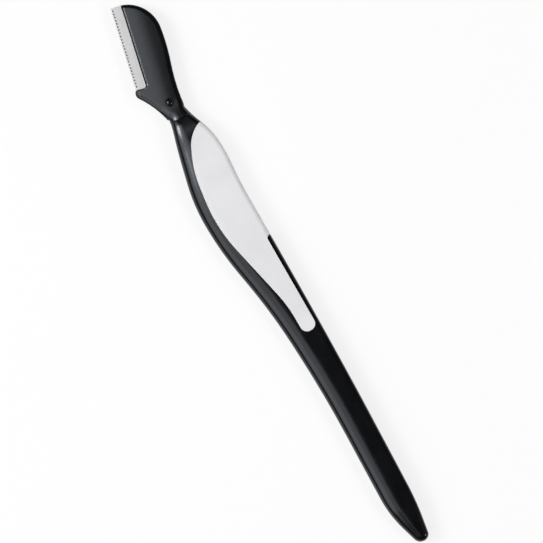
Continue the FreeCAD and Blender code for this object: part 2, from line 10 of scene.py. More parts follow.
import bmesh
import bpy
import numpy as np
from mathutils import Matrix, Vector

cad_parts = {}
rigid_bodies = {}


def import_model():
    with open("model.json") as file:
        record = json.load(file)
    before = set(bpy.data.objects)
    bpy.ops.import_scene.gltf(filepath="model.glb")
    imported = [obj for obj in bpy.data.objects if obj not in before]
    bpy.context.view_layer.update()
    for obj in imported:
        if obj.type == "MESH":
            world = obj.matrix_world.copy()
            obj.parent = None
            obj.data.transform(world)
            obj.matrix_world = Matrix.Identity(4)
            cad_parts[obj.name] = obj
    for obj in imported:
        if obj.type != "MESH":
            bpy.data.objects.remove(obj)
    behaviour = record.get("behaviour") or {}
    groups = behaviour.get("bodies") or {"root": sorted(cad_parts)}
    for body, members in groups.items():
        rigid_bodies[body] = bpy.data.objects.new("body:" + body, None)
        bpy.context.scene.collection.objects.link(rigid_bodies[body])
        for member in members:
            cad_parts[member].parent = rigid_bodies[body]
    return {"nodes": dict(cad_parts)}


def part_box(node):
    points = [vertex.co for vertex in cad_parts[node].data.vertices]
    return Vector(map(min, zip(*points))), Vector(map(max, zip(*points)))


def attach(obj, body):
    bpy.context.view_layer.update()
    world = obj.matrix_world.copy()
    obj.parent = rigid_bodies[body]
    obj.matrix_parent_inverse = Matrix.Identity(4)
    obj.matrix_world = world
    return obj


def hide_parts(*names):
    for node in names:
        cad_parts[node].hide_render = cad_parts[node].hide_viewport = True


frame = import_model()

# Sizes and places are in millimetres unless a line says metres; MM turns them into metres.
MM = 0.001
FINE = 1e-7  # metres within which a cut takes a point to lie on its plane
WELD = 0.0005 * MM  # metres within which points are one
TINY = 1e-12  # keeps a line of no length from dividing by zero
MIDDLE = 2.5  # height of the razor's middle plane
LOG = logging.getLogger("razor")

Pair = tuple[float, float]
Point = tuple[float, float, float]
Colour = tuple[float, float, float, float]


class Slot(Enum):
    """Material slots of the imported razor."""

    BLACK_PLASTIC = "black_plastic"
    PALE_ELASTOMER = "pale_elastomer"
    BLADE_STEEL = "blade_steel"
    GUARD_STEEL = "guard_steel"
    GLOSS_BLACK = "gloss_black"


class Kind(Enum):
    """What is picked on an open mesh."""

    EDGE = "EDGE"
    FACE = "FACE"


class Change(Enum):
    """Ways to combine a piece with a tool."""

    CUT = "DIFFERENCE"
    COMMON = "INTERSECT"


class Half(Enum):
    """Halves of the head, by the way their faces look along Z."""

    FRONT = 1
    BACK = -1


def smooth_step(value: Any, start: float, end: float) -> Any:
    """A smooth step from 0 at start to 1 at end, of a number or an array."""
    share = np.clip((value - start) / (end - start), 0.0, 1.0)
    return share * share * (3 - 2 * share)


@dataclass(frozen=True)
class HeadFrame:
    """The slanted frame of the blade: along the edge and away from it."""

    origin: Pair = (-75.0, -1.1)
    lean: float = 12.5

    def axes(self) -> np.ndarray:
        """The matrix that turns the razor's axes into the blade's."""
        turn = math.radians(self.lean)
        return np.array([[math.cos(turn), math.sin(turn)], [-math.sin(turn), math.cos(turn)]])

    def measure(self, spots: np.ndarray) -> np.ndarray:
        """Distances of points along the edge and away from it."""
        return (spots - self.origin) @ self.axes()

    def spot(self, measures: np.ndarray) -> np.ndarray:
        """Points at distances along the edge and away from it."""
        return measures @ self.axes().T + self.origin


@dataclass(frozen=True)
class Neck:
    """X where the head rises to the grip's thickness, and width and depth of the rounds there."""

    ramp: Pair = (-48.3, -38.5)
    back_round: Pair = (1.4, 1.4)
    chin_round: Pair = (2.6, 1.8)


HEAD = HeadFrame()
NECK = Neck()


class Signal:
    """One output of a shader node, with Python arithmetic on it."""

    def __init__(self, paint: "Paint", socket: bpy.types.NodeSocket) -> None:
        """Keep the socket and the node tree it belongs to."""
        self.paint = paint
        self.socket = socket

    def _math(self, operation: str, first: Any, second: Any) -> "Signal":
        """A Math node on two operands, each a signal or a number."""
        return self.paint.node("ShaderNodeMath", {"operation": operation}, {0: first, 1: second})

    def __add__(self, other: Any) -> "Signal":
        """Sum of two values."""
        return self._math("ADD", self, other)

    def __radd__(self, other: Any) -> "Signal":
        """Sum of two values."""
        return self._math("ADD", other, self)

    def __sub__(self, other: Any) -> "Signal":
        """Difference of two values."""
        return self._math("SUBTRACT", self, other)

    def __rsub__(self, other: Any) -> "Signal":
        """Difference of two values."""
        return self._math("SUBTRACT", other, self)

    def __mul__(self, other: Any) -> "Signal":
        """Product of two values."""
        return self._math("MULTIPLY", self, other)

    def __rmul__(self, other: Any) -> "Signal":
        """Product of two values."""
        return self._math("MULTIPLY", other, self)

    def most(self, other: Any) -> "Signal":
        """The larger of two values."""
        return self._math("MAXIMUM", self, other)


def grey(level: float, blue: float = 0.0) -> Colour:
    """A grey with a little blue, as a linear colour."""
    return (level, level, level + blue, 1.0)


class Paint:
    """A material's node tree around one shader."""

    grey_stops: ClassVar[Pair] = (0.3, 0.7)
    steel_blue: ClassVar[float] = 0.002

    def __init__(self, name: str) -> None:
        """Start an empty material.

        Args:
            name: the material's name.
        """
        self.material = bpy.data.materials.new(name)
        self.material.use_nodes = True
        self.tree = self.material.node_tree
        self.tree.nodes.clear()

    def add(
        self, kind: str, settings: dict[str, Any], sockets: dict[Any, Any]
    ) -> bpy.types.Node:
        """Add a node.

        Args:
            kind: the node's type.
            settings: its properties, set first; a ramp's stops are a list of (place, colour).
            sockets: values or signals for its inputs, by name or number.

        Returns:
            The node.
        """
        made = self.tree.nodes.new(kind)
        for name, value in settings.items():
            if name == "stops":
                self._set_stops(made, value)
            else:
                setattr(made, name, value)
        for key, value in sockets.items():
            if isinstance(value, Signal):
                self.tree.links.new(value.socket, made.inputs[key])
            else:
                made.inputs[key].default_value = value
        return made

    def node(
        self, kind: str, settings: dict[str, Any], sockets: dict[Any, Any], out: Any = 0
    ) -> Signal:
        """Add a node and take one of its outputs, by name or number."""
        return Signal(self, self.add(kind, settings, sockets).outputs[out])

    @staticmethod
    def _set_stops(ramp: bpy.types.Node, stops: list[tuple[float, Colour]]) -> None:
        """Give a colour ramp its stops.

        Args:
            ramp: the Color Ramp node.
            stops: places and colours from left to right.
        """
        elements = ramp.color_ramp.elements
        while len(elements) < len(stops):
            elements.new(0.5)
        for element, (place, colour) in zip(elements, stops):
            element.position = place
            element.color = colour

    def place(
        self,
        turn: float = 0.0,
        stretch: Point = (1.0, 1.0, 1.0),
        origin: Point = (0.0, 0.0, 0.0),
    ) -> Signal:
        """Object coordinates in millimetres from an origin, turned about Z and then stretched.

        Args:
            turn: degrees by which the axes lean below X.
            stretch: factor along each turned axis.
            origin: the point that becomes zero.

        Returns:
            The coordinates.
        """
        return self.node(
            "ShaderNodeMapping",
            {"vector_type": "TEXTURE"},
            {
                "Vector": self.node("ShaderNodeTexCoord", {}, {}, "Object"),
                "Location": tuple(value * MM for value in origin),
                "Rotation": (0.0, 0.0, -math.radians(turn)),
                "Scale": tuple(MM / factor for factor in stretch),
            },
        )

    def noise(
        self, where: Signal, scale: float, detail: float = 2.0, rough: float = 0.5
    ) -> Signal:
        """Noise from 0 to 1 with features of about 1 / scale millimetres.

        Args:
            where: coordinates in millimetres.
            scale: how many features fit in a millimetre.
            detail: octaves.
            rough: weight of the finer octaves.

        Returns:
            The noise value.
        """
        return self.node(
            "ShaderNodeTexNoise",
            {"noise_dimensions": "3D"},
            {"Vector": where, "Scale": scale, "Detail": detail, "Roughness": rough},
        )

    def past_edge(self, start: float, end: float) -> Signal:
        """How far a point lies behind the cutting edge, as 0 before start and 1 past end.

        Args:
            start: distance from the edge where the rise starts.
            end: distance from the edge where it ends.

        Returns:
            The smooth step.
        """
        spot = self.place(HEAD.lean, origin=(*HEAD.origin, 0.0))
        away = self.node("ShaderNodeSeparateXYZ", {}, {0: spot}, "Y")
        return self.node(
            "ShaderNodeMapRange",
            {"interpolation_type": "SMOOTHSTEP"},
            {"Value": away, "From Min": start, "From Max": end},
        )

    def ramp(self, value: Signal, stops: list[tuple[float, Colour]]) -> Signal:
        """A colour ramp on a value."""
        return self.node("ShaderNodeValToRGB", {"stops": stops}, {0: value})

    def greys(self, value: Signal, low: float, high: float, blue: float = 0.0) -> Signal:
        """A noise as a colour between two greys."""
        tones = (grey(low, blue), grey(high, blue))
        return self.ramp(value, list(zip(self.grey_stops, tones)))

    def bump(self, height: Signal, depth: float) -> Signal:
        """A normal from a height of 0 to 1, where 1 is a depth in millimetres."""
        return self.node("ShaderNodeBump", {}, {"Height": height, "Distance": depth * MM})

    def end(self, shader: Signal) -> bpy.types.Material:
        """Link a shader to the material's output and give the material."""
        self.add("ShaderNodeOutputMaterial", {}, {"Surface": shader})
        return self.material

    def close(self, sockets: dict[str, Any]) -> bpy.types.Material:
        """End the tree in a Principled shader with these inputs."""
        return self.end(self.node("ShaderNodeBsdfPrincipled", {}, sockets))

    def close_steel(self, tone: Signal, rough: Signal, normal: Signal) -> bpy.types.Material:
        """End the tree in bare steel.

        Args:
            tone: how light the steel is, from 0 to 1.
            rough: its roughness.
            normal: its normal.

        Returns:
            The finished material.
        """
        colour = self.ramp(tone, [(0.0, grey(0.0, self.steel_blue)), (1.0, grey(1.0))])
        return self.close(
            {"Base Color": colour, "Metallic": 1.0, "Roughness": rough, "Normal": normal}
        )


class Finish(Protocol):
    """A finish: its slot, and a way to make its material."""

    slot: ClassVar[Slot]

    def make(self) -> bpy.types.Material:
        """The finished material."""


@dataclass(frozen=True)
class SatinBlack:
    """Moulded black plastic with a fine satin grain."""

    dark: float = 0.002
    light: float = 0.0035
    blue: float = 0.0006
    rough: float = 0.19
    cloud: float = 0.35
    cloud_rough: float = 0.06
    grain: float = 7.0
    grain_rough: float = 0.05
    grain_depth: float = 0.002
    grain_share: float = 0.8
    flow: float = 0.8
    flow_stretch: Point = (0.12, 1.0, 1.0)
    tint: Colour = (0.86, 0.92, 1.0, 1.0)
    slot: ClassVar[Slot] = Slot.BLACK_PLASTIC

    def make(self) -> bpy.types.Material:
        """Mix clouds, grain and the flow of the moulding.

        Returns:
            The finished material.
        """
        paint = Paint("satin_black")
        where = paint.place()
        cloud = paint.noise(where, self.cloud, detail=3.0)
        grain = paint.noise(where, self.grain, rough=0.6)
        flow = paint.noise(paint.place(stretch=self.flow_stretch), self.flow)
        uneven = (cloud - 0.5) * self.cloud_rough
        height = grain * self.grain_share + flow * (1 - self.grain_share)
        return paint.close(
            {
                "Base Color": paint.greys(cloud, self.dark, self.light, self.blue),
                "Roughness": self.rough + uneven + (grain - 0.5) * self.grain_rough,
                "Normal": paint.bump(height, self.grain_depth),
                "IOR": 1.5,
                "Specular IOR Level": 0.5,
                "Specular Tint": self.tint,
            }
        )


@dataclass(frozen=True)
class PaleElastomer:
    """Soft pale grey panel, matte with a fine skin."""

    low: float = 0.70
    high: float = 0.75
    blue: float = 0.02
    rough: float = 0.62
    cloud: float = 0.12
    skin: float = 9.0
    skin_rough: float = 0.12
    skin_depth: float = 0.004
    gloss: float = 0.35
    slot: ClassVar[Slot] = Slot.PALE_ELASTOMER

    def make(self) -> bpy.types.Material:
        """Mix pale clouds and a fine skin.

        Returns:
            The finished material.
        """
        paint = Paint("pale_elastomer")
        where = paint.place()
        cloud = paint.noise(where, self.cloud, detail=3.0)
        skin = paint.noise(where, self.skin, rough=0.6)
        return paint.close(
            {
                "Base Color": paint.greys(cloud, self.low, self.high, self.blue),
                "Roughness": self.rough + (skin - 0.5) * self.skin_rough,
                "Normal": paint.bump(skin, self.skin_depth),
                "Specular IOR Level": self.gloss,
            }
        )


@dataclass(frozen=True)
class GuardSteel:
    """Thin rolled sheet with a satin brushing along the blade, with painted shade along its folded
    edge.
    """

    level: float = 0.8
    # painted shade on the folded edge: the share of the tone kept at the cutting edge, then the
    # distances from it over which the shade fades out
    edge: float = 0.3
    fold_shade: Pair = (0.08, 0.3)
    rough: float = 0.48
    streak: float = 3.0
    streak_stretch: Point = (0.15, 4.0, 4.0)
    streak_tone: float = 0.1
    streak_rough: float = 0.15
    streak_depth: float = 0.002
    cloud: float = 0.4
    cloud_tone: float = 0.06
    offset: float = 0.1
    slot: ClassVar[Slot] = Slot.GUARD_STEEL

    def make(self) -> bpy.types.Material:
        """Brush the sheet and paint shade on its folded edge.

        Returns:
            The finished material.
        """
        paint = Paint("guard_steel")
        along = paint.place(HEAD.lean, self.streak_stretch)
        streak = paint.noise(along, self.streak, detail=3.0, rough=0.6)
        cloud = paint.noise(paint.place(), self.cloud)
        # painted shade: the sheet darkens towards its folded edge, standing in for the dark
        # reflection and the shadows of its teeth
        fold_shade = paint.past_edge(*self.fold_shade)
        tone = streak * self.streak_tone + cloud * self.cloud_tone + self.level - self.offset
        tone = tone * (fold_shade * (1 - self.edge) + self.edge)
        rough = self.rough + (streak - 0.5) * self.streak_rough
        return paint.close_steel(tone, rough, paint.bump(streak, self.streak_depth))


@dataclass(frozen=True)
class BladeSteel:
    """Hardened strip, ground across its edge, with painted shade along the sharpened rim."""

    level: float = 0.70
    # painted shade on the sharpened rim: the share of the tone kept at the cutting edge, then the
    # distances from it over which the shade fades out
    edge: float = 0.12
    bevel_shade: Pair = (0.62, 0.8)
    rough: float = 0.28
    ground: float = 3.0
    ground_stretch: Point = (5.0, 0.2, 1.0)
    ground_tone: float = 0.1
    ground_rough: float = 0.12
    ground_depth: float = 0.001
    offset: float = 0.07
    slot: ClassVar[Slot] = Slot.BLADE_STEEL

    def make(self) -> bpy.types.Material:
        """Grind the strip and paint shade along its sharpened rim.

        Returns:
            The finished material.
        """
        paint = Paint("blade_steel")
        across = paint.place(HEAD.lean, self.ground_stretch)
        ground = paint.noise(across, self.ground, detail=3.0, rough=0.6)
        # painted shade: the strip darkens towards its cutting edge, standing in for the dark
        # reflection of the tilted sharpened rim
        bevel_shade = paint.past_edge(*self.bevel_shade)
        tone = ground * self.ground_tone + self.level - self.offset
        tone = tone * (bevel_shade * (1 - self.edge) + self.edge)
        rough = self.rough + (ground - 0.5) * self.ground_rough
        return paint.close_steel(tone, rough, paint.bump(ground, self.ground_depth))


@dataclass(frozen=True)
class GlossBlack:
    """Polished black dome."""

    dark: float = 0.004
    light: float = 0.0064
    blue: float = 0.001
    rough: float = 0.07
    cloud: float = 1.5
    cloud_rough: float = 0.03
    ripple: float = 5.0
    ripple_depth: float = 0.0015
    gloss: float = 0.36
    slot: ClassVar[Slot] = Slot.GLOSS_BLACK

    def make(self) -> bpy.types.Material:
        """Mix faint clouds and ripples under the polish.

        Returns:
            The finished material.
        """
        paint = Paint("gloss_black")
        where = paint.place()
        cloud = paint.noise(where, self.cloud)
        return paint.close(
            {
                "Base Color": paint.greys(cloud, self.dark, self.light, self.blue),
                "Roughness": self.rough + (cloud - 0.5) * self.cloud_rough,
                "Normal": paint.bump(paint.noise(where, self.ripple), self.ripple_depth),
                "Specular IOR Level": self.gloss,
            }
        )


class Bench:
    """Hand moves of the modelling bench, on one object at a time."""

    flat_angle: ClassVar[float] = 0.2
    outline_weld: ClassVar[float] = 0.01
    normal_weight: ClassVar[int] = 80

    @staticmethod
    def only(piece: bpy.types.Object) -> None:
        """Select one object alone and make it active.

        Args:
            piece: the object.
        """
        bpy.ops.object.select_all(action="DESELECT")
        piece.select_set(True)
        bpy.context.view_layer.objects.active = piece

    @classmethod
    @contextmanager
    def editing(cls, piece: bpy.types.Object) -> Iterator[bmesh.types.BMesh]:
        """Open a piece in edit mode.

        Args:
            piece: the object to edit.

        Returns:
            Its edit mesh, until the block ends.
        """
        cls.only(piece)
        bpy.ops.object.mode_set(mode="EDIT")
        bpy.ops.mesh.select_mode(type="VERT")
        try:
            yield bmesh.from_edit_mesh(piece.data)
        finally:
            bpy.ops.object.mode_set(mode="OBJECT")

    @staticmethod
    def pick(piece: bpy.types.Object, kind: Kind, wanted: Callable[[Any], bool]) -> None:
        """Select edges or faces of the open mesh by a test.

        Args:
            piece: the object in edit mode.
            kind: what is picked.
            wanted: tells whether an edge or a face is taken.
        """
        bpy.ops.mesh.select_mode(type=kind.value)
        bpy.ops.mesh.select_all(action="DESELECT")
        mesh = bmesh.from_edit_mesh(piece.data)
        items = mesh.edges if kind is Kind.EDGE else mesh.faces
        for item in [item for item in items if wanted(item)]:
            item.select = True
        mesh.select_flush_mode()
        bmesh.update_edit_mesh(piece.data)

    @staticmethod
    def copy(source: bpy.types.Object, name: str) -> bpy.types.Object:
        """A new object with its own copy of a mesh.

        Args:
            source: the object to copy.
            name: the copy's name.

        Returns:
            The copy.
        """
        twin = bpy.data.objects.new(name, source.data.copy())
        bpy.context.scene.collection.objects.link(twin)
        return twin

    @classmethod
    def merged(cls, node: str, name: str) -> bpy.types.Object:
        """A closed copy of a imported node, without its finish.

        Args:
            node: the node's name.
            name: the copy's name.

        Returns:
            The copy.
        """
        piece = cls.copy(frame["nodes"][node], name)
        piece.data.materials.clear()
        with cls.editing(piece):
            bpy.ops.mesh.select_all(action="SELECT")
            bpy.ops.mesh.remove_doubles(threshold=WELD)
        return piece

    @classmethod
    def combine(
        cls, piece: bpy.types.Object, tool: bpy.types.Object, how: Change, keep: bool = False
    ) -> None:
        """Cut a piece with a tool, or keep what they have in common.

        Args:
            piece: the object that changes.
            tool: the object it is combined with.
            how: the way they are combined.
            keep: leave the tool in the file.
        """
        cls.only(piece)
        change = piece.modifiers.new("change", "BOOLEAN")
        change.operation = how.value
        change.solver = "EXACT"
        change.object = tool
        bpy.ops.object.modifier_apply(modifier=change.name)
        if not keep:
            bpy.data.objects.remove(tool)

    @staticmethod
    def bisect(place: Point, normal: Point, **options: bool) -> None:
        """Cut all of the open mesh along a plane.

        Args:
            place: a point of the plane.
            normal: the plane's normal.
            options: what the operator fills and clears.
        """
        spot = [value * MM for value in place]
        bpy.ops.mesh.select_all(action="SELECT")
        bpy.ops.mesh.bisect(plane_co=spot, plane_no=normal, threshold=FINE, **options)

    @classmethod
    def trim(cls, piece: bpy.types.Object, along: float, close: bool) -> None:
        """Cut off everything past an X, and fill the cut if it is to close."""
        with cls.editing(piece):
            cls.bisect((along, 0, 0), (1, 0, 0), use_fill=close, clear_outer=True)

    @classmethod
    def slice_of(cls, node: str, height: float, name: str) -> bpy.types.Object:
        """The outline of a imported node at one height.

        Args:
            node: the node's name.
            height: height of the slice.
            name: the new object's name.

        Returns:
            An object with the outline's edges.
        """
        piece = cls.merged(node, name)
        with cls.editing(piece):
            cls.bisect((0, 0, height), (0, 0, 1), clear_inner=True, clear_outer=True)
            bpy.ops.mesh.select_all(action="SELECT")
            bpy.ops.mesh.remove_doubles(threshold=cls.outline_weld * MM)
        return piece

    @staticmethod
    def keep_loop(piece: bpy.types.Object, start: bmesh.types.BMVert) -> None:
        """Keep only the loop of edges that a vertex belongs to, and select it.

        Args:
            piece: the object in edit mode.
            start: a vertex of the loop.
        """
        bpy.ops.mesh.select_all(action="DESELECT")
        start.select = True
        bmesh.update_edit_mesh(piece.data)
        bpy.ops.mesh.select_linked()
        bpy.ops.mesh.select_all(action="INVERT")
        bpy.ops.mesh.delete(type="VERT")
        bpy.ops.mesh.select_all(action="SELECT")
        bpy.ops.mesh.delete(type="ONLY_FACE")
        bpy.ops.mesh.select_all(action="SELECT")

    @staticmethod
    def is_fin(face: bmesh.types.BMFace) -> bool:
        """Whether a face has a free edge, and one that two more faces share."""
        shares = [len(edge.link_faces) for edge in face.edges]
        return min(shares) == 1 and max(shares) > 2

    @classmethod
    def smooth(cls, piece: bpy.types.Object, angle: float, start: float) -> None:
        """Close a cut piece and shade it smoothly except along sharp edges.

        Args:
            piece: the object.
            angle: edges sharper than this, in degrees, stay crisp.
            start: flat neighbours beyond this X are merged first.
        """
        with cls.editing(piece):
            bpy.ops.mesh.select_all(action="SELECT")
            bpy.ops.mesh.remove_doubles(threshold=WELD)
            cls.pick(
                piece,
                Kind.FACE,
                lambda face: min(vertex.co.x for vertex in face.verts) > start * MM,
            )
            bpy.ops.mesh.dissolve_limited(angle_limit=math.radians(cls.flat_angle))
            cls.pick(piece, Kind.FACE, cls.is_fin)
            bpy.ops.mesh.delete(type="FACE")
            cls.pick(piece, Kind.EDGE, lambda edge: edge.is_boundary)
            bpy.ops.mesh.fill_holes(sides=0)
        cls.only(piece)
        bpy.ops.object.shade_smooth_by_angle(angle=math.radians(angle))
        even = piece.modifiers.new("even", "WEIGHTED_NORMAL")
        even.keep_sharp = True
        even.weight = cls.normal_weight
        bpy.ops.object.modifier_apply(modifier=even.name)


@dataclass(frozen=True)
class Section:
    """A section of the handle: two unlike rounded flanks and a flat face, alike front and back."""

    low: float
    high: float
    half: float
    low_round: Pair
    high_round: Pair
    low_steps: ClassVar[int] = 12
    high_steps: ClassVar[int] = 8
    flat_steps: ClassVar[int] = 5

    def front(self) -> list[Pair]:
        """Points of the front half from the lower flank to the upper.

        Returns:
            Y and height over the middle.
        """
        (low_wide, low_deep), (high_wide, high_deep) = self.low_round, self.high_round
        spots = []
        for step in range(self.low_steps + 1):
            turn = math.pi / 2 * step / self.low_steps
            across = self.low + low_wide * (1 - math.cos(turn))
            spots.append((across, self.half - low_deep * (1 - math.sin(turn))))
        start, end = self.low + low_wide, self.high - high_wide
        for step in range(1, self.flat_steps):
            spots.append((start + (end - start) * step / self.flat_steps, self.half))
        for step in range(self.high_steps + 1):
            turn = math.pi / 2 * step / self.high_steps
            across = self.high - high_wide * (1 - math.sin(turn))
            spots.append((across, self.half - high_deep * (1 - math.cos(turn))))
        return spots

    def top(self, across: float) -> float:
        """Height over the middle of the front at a Y."""
        spots = self.front()
        return float(np.interp(across, [y for y, _ in spots], [z for _, z in spots]))

    def ring(self, along: float) -> list[Vector]:
        """All points of the section, front and back.

        Args:
            along: X of the section.

        Returns:
            The points in metres, in order round the section.
        """
        front = self.front()
        around = [(y, MIDDLE + z) for y, z in front]
        around += [(y, MIDDLE - z) for y, z in reversed(front)]
        return [Vector((along, y, z)) * MM for y, z in around]


@dataclass
class Grip:
    """Handle and neck as one smooth moulding drawn through sections of the solid."""

    start: float = -42.9
    full: float = -35.0
    step: float = 1.1
    tail: float = 2.0
    tail_steps: tuple[float, ...] = (1.5, 1.0, 0.6, 0.3, 0.12, 0.03)
    thin: float = 1.5
    low_round: Pair = (4.0, 2.42)
    high_round: Pair = (1.3, 1.1)
    low_share: float = 0.62
    high_share: float = 0.34
    deep_share: float = 0.97
    nodes: tuple[str, ...] = ("handle", "grip_inlay")
    digits: ClassVar[int] = 7
    edges: np.ndarray = field(init=False)

    def __post_init__(self) -> None:
        """Read the ends of every edge of the solids."""
        found = []
        for name in self.nodes:
            mesh = frame["nodes"][name].data
            spots = np.array([vertex.co for vertex in mesh.vertices]) / MM
            found.append(spots[np.array([edge.vertices[:] for edge in mesh.edges])])
        self.edges = np.concatenate(found)

    def span(self, along: float) -> Point:
        """Measure the solids at an X.

        Args:
            along: X of the section.

        Returns:
            Lowest Y, highest Y and half thickness.
        """
        ends = self.edges - np.array([along, 0.0, 0.0])
        before, after = ends[:, 0, 0], ends[:, 1, 0]
        crossing = ends[(before * after <= 0) & (before != after)]
        first, second = crossing[:, 0], crossing[:, 1]
        share = first[:, :1] / (first[:, :1] - second[:, :1])
        spots = first + (second - first) * share
        deep = np.abs(spots[:, 2] - MIDDLE).max()
        return float(spots[:, 1].min()), float(spots[:, 1].max()), float(deep)

    def section(self, along: float) -> Section:
        """The section at an X, drawn from the neck's rounds to the grip's oval.

        Args:
            along: X of the section.

        Returns:
            The section.
        """
        low, high, half = self.span(along)
        risen = float(smooth_step(along, *NECK.ramp))
        half = min(half, self.thin + (half - self.thin) * risen)
        grown = float(smooth_step(along, self.start, self.full))
        rounds = []
        for tight, loose, share in (
            (NECK.chin_round, self.low_round, self.low_share),
            (NECK.back_round, self.high_round, self.high_share),
        ):
            across = min(tight[0] + (loose[0] - tight[0]) * grown, share * (high - low))
            depth = min(tight[1] + (loose[1] - tight[1]) * grown, self.deep_share * half)
            rounds.append((across, depth))
        return Section(low, high, half, *rounds)

    def ring(self, along: float) -> list[Vector]:
        """Points round the grip at an X, in metres."""
        return self.section(along).ring(along)

    def places(self, end: float) -> list[float]:
        """X of every section from the head to the tail, closer together where the tail ends.

        Args:
            end: X of the tail's end.

        Returns:
            The places.
        """
        length = end - self.tail - self.start
        count = round(length / self.step)
        even = [self.start + length * i / count for i in range(count + 1)]
        return even + [end - back for back in self.tail_steps]

    def build(self) -> bpy.types.Object:
        """Extrude the moulding section by section.

        Returns:
            The closed form of handle and neck.
        """
        places = self.places(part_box("handle")[1].x / MM)
        before = self.ring(places[0])
        bpy.ops.object.select_all(action="DESELECT")
        bpy.ops.mesh.primitive_circle_add(vertices=len(before), radius=MM, fill_type="NGON")
        form = bpy.context.object
        form.name = "handle_body"
        with Bench.editing(form) as mesh:
            for vertex, spot in zip(list(mesh.verts), before):
                vertex.co = spot
            bmesh.update_edit_mesh(form.data)
            for along in places[1:]:
                bpy.ops.mesh.extrude_region_move(TRANSFORM_OT_translate={"value": (0, 0, 0)})
                after = self.ring(along)
                self.move_ring(form, before, after)
                before = after
            bpy.ops.mesh.select_all(action="SELECT")
            bpy.ops.mesh.normals_make_consistent(inside=False)
        return form

    @classmethod
    def move_ring(
        cls, form: bpy.types.Object, before: list[Vector], after: list[Vector]
    ) -> None:
        """Move the selected ring from one section to the next.

        Args:
            form: the object in edit mode.
            before: where the ring's points are.
            after: where they go.
        """
        target = {tuple(round(c, cls.digits) for c in old): new for old, new in zip(before, after)}
        mesh = bmesh.from_edit_mesh(form.data)
        for vertex in mesh.verts:
            if vertex.select:
                vertex.co = target[tuple(round(c, cls.digits) for c in vertex.co)]
        bmesh.update_edit_mesh(form.data)


